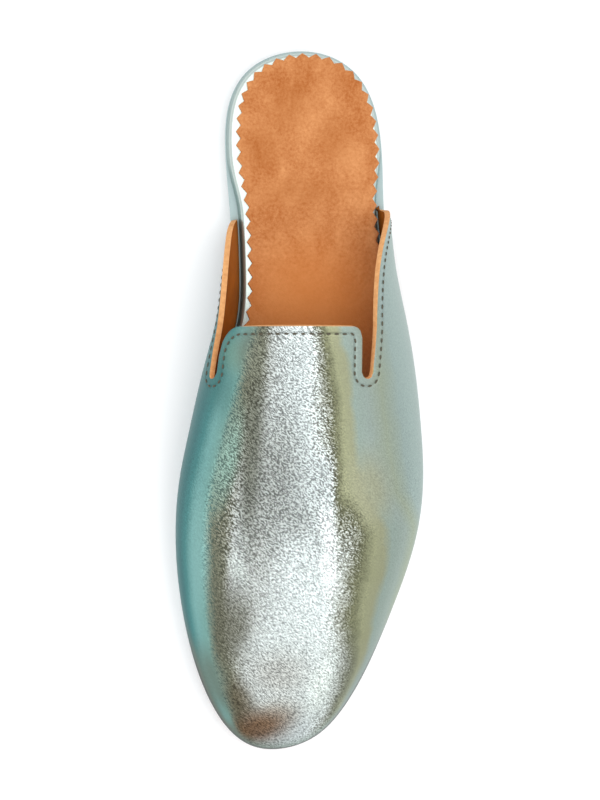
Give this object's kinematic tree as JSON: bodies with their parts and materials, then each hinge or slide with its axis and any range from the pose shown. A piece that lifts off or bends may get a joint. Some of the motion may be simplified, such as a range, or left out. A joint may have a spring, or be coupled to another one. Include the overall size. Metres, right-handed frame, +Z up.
{
  "type": "babouche slipper",
  "caption": "Backless leather slipper for the left foot: closed round toe, notched throat with two side wings, rounded footbed rim, suede sock with a pinked edge and a low heel.",
  "frame": {"origin": "on the floor, under the middle of the slipper's length and width", "axes": "+Z up, +Y along the slipper from the toe to the heel, -X the inner side of the foot"},
  "size_m": [0.0908, 0.256, 0.0596],
  "materials": {
    "metallic_leather": "metallic foil leather, fine grain, teal to silver",
    "wrapped_board": "metallic foil leather wrapped round a board",
    "suede": "tan suede, matt",
    "sole_leather": "plain sole leather",
    "heel_leather": "plain stacked leather"
  },
  "bodies": {
    "root": {"upper": "metallic_leather", "footbed": "wrapped_board", "sock": "suede", "outsole": "sole_leather", "heel": "heel_leather"}
  },
  "joints": []
}
